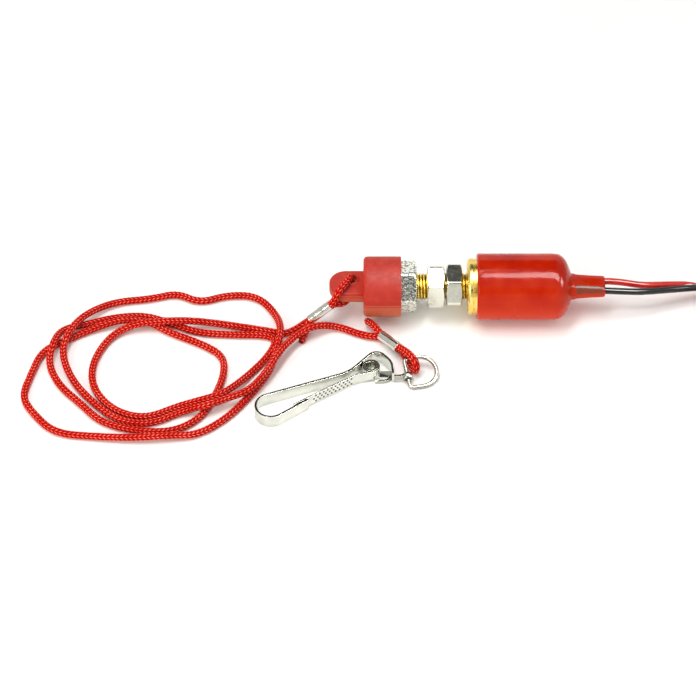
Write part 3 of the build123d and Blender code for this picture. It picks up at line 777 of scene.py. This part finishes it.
tab_curve = bpy.data.curves.new("tab", "CURVE")
tab_curve.dimensions = "2D"
tab_curve.fill_mode = "BOTH"
outline = [(-35.0, -TAB_R), (-35.0, TAB_R)] + arc((TAB_ROUND_X, 0), TAB_R, 90, 270, 24)
hole = arc(EYELET, EYELET_R, 0, 345, 23)
for loop in (outline, hole):
    spline = tab_curve.splines.new("POLY")
    spline.points.add(len(loop) - 1)
    for point, (x, y) in zip(spline.points, loop):
        point.co = (x * MM, y * MM, 0, 1)
    spline.use_cyclic_u = True
tab_curve.bevel_mode = "ROUND"
tab_curve.bevel_depth = TAB_EDGE_R * MM
tab_curve.bevel_resolution = 3
tab_curve.offset = -TAB_EDGE_R * MM
tab_curve.extrude = (TAB_HALF_THICK - TAB_EDGE_R) * MM
tab_holder = put_in_scene("tab_holder", tab_curve)
tab_edit = bmesh.new()
tab_edit.from_mesh(plain_mesh(tab_holder))
bpy.data.objects.remove(tab_holder)
bmesh.ops.remove_doubles(tab_edit, verts=tab_edit.verts, dist=0.001 * MM)
tab = finished("cap_tab", tab_edit)
tab.data.materials.clear()
tab.data.materials.append(rubber)

rim_profile = [(2.0, 1.6), (2.02, 2.15)] + arc((2.3, 2.2), 0.28, 180, 60, 5)
rim_profile += [(2.75, 2.34), (2.95, 2.1), (2.0, 1.6)]
rim_rings = [[(EYELET[0] + r * math.cos(t), EYELET[1] + r * math.sin(t), z) for t in angles(48)]
             for r, z in rim_profile]
rim = ring_mesh("eyelet_rim", rim_rings, closed_ends=False, sharp_deg=50)
rim.data.materials.append(rubber)
for piece in (cap, tab, rim):
    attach(piece, "cap")
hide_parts("pull_cap")


# Ferrules: short tubes squeezed flat round two passes of the cord, nickel plated. Each has a little
# flare at its mouths and two crimp marks across it.
SLEEVE_HALF = 1.725
SLEEVE_WALL = 0.4
STRAND_OUT = 1.325
SLEEVE_STEPS = 20
CRIMP_DEEP = 0.05
CRIMP_WIDE = 0.07
MOUTH_FLARE = 0.03
# Bright nickel: a nearly white mirror, a touch warm, on which the bends and crimps show as lines.
bright_nickel = plated_material("bright nickel plate", "C8C8C0", "DFDFD7", 0.14)


def ferrule(name, lower, upper, wide, replaced):
    """Sleeve from lower to upper, with the two strands side by side along wide."""
    low = Vector(lower)
    axis = Vector(upper) - low
    length = axis.length
    axis.normalize()
    wide_way = Vector(wide)
    wide_way = (wide_way - axis * wide_way.dot(axis)).normalized()
    thin_way = axis.cross(wide_way)
    stations = [(0, -SLEEVE_WALL), (0, 0.0), (0.15, MOUTH_FLARE)]
    for n in range(1, SLEEVE_STEPS):
        share = n / SLEEVE_STEPS
        crimps = [math.exp(-((share - at) / CRIMP_WIDE) ** 2) for at in (0.3, 0.7)]
        stations.append((length * share, -CRIMP_DEEP * sum(crimps)))
    stations += [(length - 0.15, MOUTH_FLARE), (length, 0.0), (length, -SLEEVE_WALL),
                 (0, -SLEEVE_WALL)]
    rings = []
    for along, thicker in stations:
        half = SLEEVE_HALF + thicker
        ring = []
        for t in angles(48):
            across = math.copysign(STRAND_OUT, math.cos(t)) + half * math.cos(t)
            ring.append(low + axis * along + wide_way * across + thin_way * half * math.sin(t))
        rings.append(ring)
    sleeve = ring_mesh(name, rings, closed_ends=False)
    sleeve.data.materials.append(bright_nickel)
    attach(sleeve, "cap")
    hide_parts(replaced)
    return sleeve


upper_ferrule = ferrule("upper_ferrule", (-54.4, -8.95, -7.15), (-47.5, -6.75, -2.15),
                        (0.194, 0.776, -0.6), "cap_ferrule")
lower_ferrule = ferrule("lower_ferrule", (-23.6, -21.75, -8.5), (-29.5, -15.85, -8.5),
                        (0.347, 0.348, -0.719), "hook_ferrule")


# Ring: one bent wire with a straight side for the hook's eye and a round bow in the cord's fold.
# across_way runs across it and bar_way down its straight side, which slopes to the table.
RING_CORNER = Vector((-22.3, -27.8, -7.6))
RING_YAW = math.radians(12)
RING_TILT = math.radians(16.4)
RING_LONG = 11.35
RING_STRAIGHT = 4.65
RING_BEND = 1.5
RING_WIRE = 1.45
across_way = Vector((math.cos(RING_YAW), math.sin(RING_YAW), 0))
bar_way = Vector((math.sin(RING_YAW) * math.cos(RING_TILT),
                  -math.cos(RING_YAW) * math.cos(RING_TILT), -math.sin(RING_TILT)))
out_way = across_way.cross(bar_way)
flat_line = arc((RING_BEND, RING_BEND), RING_BEND, 270, 180, 6)
flat_line += arc((RING_BEND, RING_LONG - RING_BEND), RING_BEND, 180, 90, 6)
flat_line += arc((RING_STRAIGHT, RING_LONG / 2), RING_LONG / 2, 90, -90, 28)
wire_line = [RING_CORNER + across_way * x + bar_way * y for x, y in flat_line]
wire_rings = []
for index, centre in enumerate(wire_line):
    ahead = (wire_line[(index + 1) % len(wire_line)] - wire_line[index - 1]).normalized()
    side = ahead.cross(out_way).normalized()
    wire_rings.append([centre + (side * math.cos(t) + out_way * math.sin(t)) * (RING_WIRE / 2)
                       for t in angles(20)])
wire_rings.append(wire_rings[0])
ring = ring_mesh("wire_ring", wire_rings, closed_ends=False, sharp_deg=60)
# Shaded nickel: a darker copy of the nickel plate, painted shade, so that the small curved forms
# look greyer and softer than the broad faces of the strip.
shaded_nickel = plated_material("shaded nickel plate", "9C9C92", "BDBDB2", 0.2)
ring.data.materials.append(shaded_nickel)
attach(ring, "ring")
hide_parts("ring")


# Snap hook: one nickel-plated spring strip on edge. It runs from the nose round the end, back along
# the spine and over the scroll, and a narrow tongue of it is rolled into the eye on the ring.
STRIP = 0.8
STRIP_TOP = TABLE + 4.8
STRIP_EDGE_R = 0.06
PIVOT = (-33.5, -31.6)
CORE_R = 2.2
EYE_DOWN_BAR = 6.8
EYE_PROFILE = ((-1.1, 1.15), (-1.1, 1.6), (-0.95, 1.75), (0.95, 1.75), (1.1, 1.6), (1.1, 1.15),
               (-1.1, 1.15))


def rounded_path(points, radii, step_deg=6):
    """Path seen from above, with its corners rounded to the radii."""
    path = [Vector(points[0])]
    for before, at, after, radius in zip(points, points[1:], points[2:], radii):
        corner = Vector(at)
        into = (corner - Vector(before)).normalized()
        out = (Vector(after) - corner).normalized()
        turn = into.angle_signed(out) * -1
        start = corner - into * radius * math.tan(abs(turn) / 2)
        centre = start + Vector((-into.y, into.x)) * math.copysign(radius, turn)
        steps = max(2, int(abs(math.degrees(turn)) / step_deg))
        for n in range(steps + 1):
            path.append(centre + Matrix.Rotation(turn * n / steps, 2) @ (start - centre))
    path.append(Vector(points[-1]))
    clean = [path[0]]
    for place in path[1:]:
        if (place - clean[-1]).length > 0.02:
            clean.append(place)
    return clean


def round_path(radius, count):
    """Circle round the gate's pivot."""
    return [Vector((PIVOT[0] + radius * math.cos(t), PIVOT[1] + radius * math.sin(t)))
            for t in angles(count)]


def strip_rings(path, thick, low, high, closed=False):
    """Sections of a strip on edge with its long edges rounded over."""
    off_by = thick / 2 - STRIP_EDGE_R
    top_edge = high - STRIP_EDGE_R
    top = [(off_by + STRIP_EDGE_R * math.cos(t), top_edge + STRIP_EDGE_R * math.sin(t))
           for t in (math.radians(step) for step in (0, 30, 60, 90))]
    top += [(-off, z) for off, z in reversed(top)]
    section = top + [(off, low + high - z) for off, z in reversed(top)]
    rings = []
    count = len(path)
    for index, place in enumerate(path):
        if closed:
            ahead = path[(index + 1) % count] - path[index - 1]
        else:
            ahead = path[min(index + 1, count - 1)] - path[max(index - 1, 0)]
        ahead.normalize()
        rings.append([(place.x - ahead.y * off, place.y + ahead.x * off, z) for off, z in section])
    if closed:
        rings.append(rings[0])
    return rings


hook_path = rounded_path(
    [(-55.1, -47.45), (-67.2, -56.5), (-73.1, -53.2), (-72.6, -46.4), (-41.1, -34.5),
     (-31.7, -23.5), (-26.5, -29.4), (-26.0, -35.2)], [5.25, 5.25, 5.25, 14.0, 3.1, 7.6])
hook = ring_mesh("spring_hook", strip_rings(hook_path, STRIP, TABLE, STRIP_TOP), sharp_deg=45)
foot_path = rounded_path([(-26.2, -32.0), (-27.2, -35.1), (-32.2, -35.5)], [3.0])
foot = ring_mesh("hook_foot", strip_rings(foot_path, STRIP, TABLE, TABLE + 1.3), sharp_deg=45)
tongue_path = [Vector((-26.2, -34.8)), Vector((-24.5, -34.6)), Vector((-22.0, -34.45))]
tongue = ring_mesh("hook_tongue", strip_rings(tongue_path, STRIP, -10.5, -8.5), sharp_deg=45)
core_rings = strip_rings(round_path(CORE_R, 40), 0.55, TABLE + 0.3, STRIP_TOP, closed=True)
core = ring_mesh("hook_core", core_rings, closed_ends=False, sharp_deg=45)
leaf_path = [Vector(PIVOT), Vector((-26.4, PIVOT[1]))]
leaf = ring_mesh("hook_leaf", strip_rings(leaf_path, 3.0, TABLE, TABLE + 0.4), sharp_deg=45)
eye_centre = RING_CORNER + bar_way * EYE_DOWN_BAR
eye_rings = [[eye_centre + bar_way * along
              + (across_way * math.cos(t) - out_way * math.sin(t)) * radius for t in angles(32)]
             for along, radius in EYE_PROFILE]
eye = ring_mesh("hook_eye", eye_rings, closed_ends=False, sharp_deg=45)
# The small pieces take the darker nickel copy, which is painted shade.
for piece in (hook, foot, tongue, core, leaf, eye):
    piece.data.materials.append(bright_nickel if piece in (hook, leaf) else shaded_nickel)
    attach(piece, "hook")
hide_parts("hook_body")


# Gate: thin sprung tongue whose root is rolled into a barrel round the hook's core. Rows of punched
# pips give the thumb a grip.
GATE_LOW = TABLE + 0.5
GATE_HIGH = TABLE + 4.6
GATE_THICK = 0.5
BARREL_R = 2.8
PIP_START = 7.4
PIP_PITCH = 1.6
PIP_ROWS = 3
PIP_COLUMNS = 10
PIP_ROW_PITCH = 1.2
PIP_FROM_TOP = 0.85
PIP_R = 0.38
PIP_DEEP = 0.06

barrel_rings = strip_rings(round_path(BARREL_R, 48), GATE_THICK, GATE_LOW, GATE_HIGH, closed=True)
barrel = ring_mesh("gate_barrel", barrel_rings, closed_ends=False, sharp_deg=45)
gate_path = rounded_path([(PIVOT[0], PIVOT[1] - BARREL_R), (-38.5, -35.6), (-48.0, -41.6),
                          (-60.0, -49.6)], [3.5, 20.0])
gate = ring_mesh("gate_tongue", strip_rings(gate_path, GATE_THICK, GATE_LOW, GATE_HIGH),
                 sharp_deg=45)
for piece in (barrel, gate):
    piece.data.materials.append(bright_nickel)
    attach(piece, "gate")
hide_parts("hook_gate")


def walked_along(path, wanted):
    """Place on a path and its direction there, a distance from the path's start."""
    for a, b in zip(path, path[1:]):
        run = (b - a).length
        if wanted <= run:
            return a + (b - a) * (wanted / run), (b - a).normalized()
        wanted -= run
    return path[-1], (path[-1] - path[-2]).normalized()


# Punched pips: near-black discs where the pits are, so that they read as rows of black dots.
pip_material, tree, shader, place = new_material("punched pips", 0.5)
tree.links.new(patches(tree, place, 0.4, ((0.3, "060605"), (0.7, "141412"))),
               shader.inputs["Base Color"])
pip_places = []
for row in range(PIP_ROWS):
    for column in range(PIP_COLUMNS):
        spot, run = walked_along(gate_path, PIP_START + (column + 0.5 * (row % 2)) * PIP_PITCH)
        gate_out = Vector((-run.y, run.x))
        spot += gate_out * GATE_THICK / 2
        height = GATE_HIGH - PIP_FROM_TOP - row * PIP_ROW_PITCH
        pip_places.append((spot.x * MM, spot.y * MM, height * MM))
pip_cloud = bpy.data.meshes.new("pip places")
pip_cloud.from_pydata(pip_places, [], [])
pips = put_in_scene("gate_pips", pip_cloud)
pip_tree = bpy.data.node_groups.new("punched pips", "GeometryNodeTree")
pip_sockets = pip_tree.interface
pip_sockets.new_socket("Geometry", in_out="INPUT", socket_type="NodeSocketGeometry")
radius_socket = pip_sockets.new_socket("Pip radius", in_out="INPUT", socket_type="NodeSocketFloat")
depth_socket = pip_sockets.new_socket("Pip depth", in_out="INPUT", socket_type="NodeSocketFloat")
pip_sockets.new_socket("Geometry", in_out="OUTPUT", socket_type="NodeSocketGeometry")
given = add_node(pip_tree, "NodeGroupInput").outputs
pip_shape = add_node(pip_tree, "GeometryNodeMeshCylinder", {
    "Vertices": 12, "Radius": given["Pip radius"], "Depth": given["Pip depth"]})
lean = gate_out.to_3d().to_track_quat("Z", "Y").to_euler()
placed = add_node(pip_tree, "GeometryNodeInstanceOnPoints", {
    "Points": given["Geometry"], "Instance": pip_shape.outputs["Mesh"], "Rotation": lean})
real = add_node(pip_tree, "GeometryNodeRealizeInstances",
                {"Geometry": placed.outputs["Instances"]})
dressed = add_node(pip_tree, "GeometryNodeSetMaterial",
                   {"Geometry": real.outputs["Geometry"], "Material": pip_material})
add_node(pip_tree, "NodeGroupOutput", {"Geometry": dressed.outputs["Geometry"]})
modifier = pips.modifiers.new("pips", "NODES")
modifier.node_group = pip_tree
modifier[radius_socket.identifier] = PIP_R * MM
modifier[depth_socket.identifier] = PIP_DEEP * MM
pip_mesh = plain_mesh(pips)
pips.modifiers.clear()
pips.data = pip_mesh
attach(pips, "gate")


# Inside the can and on the leads' ends: the parts that do not show in the picture keep their CAD
# shapes and get the finish of the real ones.
BULLET_SLEEVE = 6.95


def plain_material(name, dark, light, roughness, grain_mm, metallic=0.0):
    """Even workshop finish: two near shades, a soft gloss and a fine grain."""
    material, tree, shader, place = new_material(name, roughness, metallic=metallic)
    tree.links.new(patches(tree, place, grain_mm, ((0.3, dark), (0.7, light))),
                   shader.inputs["Base Color"])
    uneven_gloss(tree, shader, place, grain_mm / 2, roughness - 0.08, roughness + 0.1)
    grained(tree, shader, place, grain_mm / 3, 0.02)
    return material


def dress(material, *nodes):
    for name in nodes:
        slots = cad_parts[name].data.materials
        slots.clear()
        slots.append(material)


# The moulding is near black and satin, the fibre a dry red-brown, the wire dull grey drawn steel.
dress(plain_material("black moulding", "15110F", "2A2422", 0.45, 1.5), "plunger", "terminal_base")
dress(plain_material("vulcanised fibre", "57190F", "7A2B1D", 0.7, 0.8),
      "plunger_washer", "front_insulator")
dress(plain_material("spring wire", "86888A", "B8B9BA", 0.3, 0.7, metallic=1.0), "return_spring")
dress(bright_brass, "contact_disc", "red_terminal", "black_terminal")

# Bullets: tinned brass with a coloured vinyl sleeve over the crimped half, so each is two-toned.
for colour, start, way, beyond, dark, light in (
        ("red", 93.0, 1, "GREATER_THAN", "8E0E08", "C01A10"),
        ("black", 103.0, -1, "LESS_THAN", "0E0E0F", "1C1C1E")):
    material, tree, shader, place = new_material(colour + " bullet", 0.3)
    split = add_node(tree, "ShaderNodeSeparateXYZ", {"Vector": place})
    past_sleeve = add_node(tree, "ShaderNodeMath", {
        0: split.outputs["X"], 1: (start + BULLET_SLEEVE * way) * MM}, operation=beyond).outputs[0]
    sleeve = patches(tree, place, 1.5, ((0.3, dark), (0.7, light)))
    tin = patches(tree, place, 0.8, ((0.3, "C9C7BE"), (0.7, "ECEAE2")))
    both = add_node(tree, "ShaderNodeMix", {0: past_sleeve, 6: sleeve, 7: tin}, data_type="RGBA")
    tree.links.new(both.outputs[2], shader.inputs["Base Color"])
    tree.links.new(past_sleeve, shader.inputs["Metallic"])
    dress(material, colour + "_bullet")
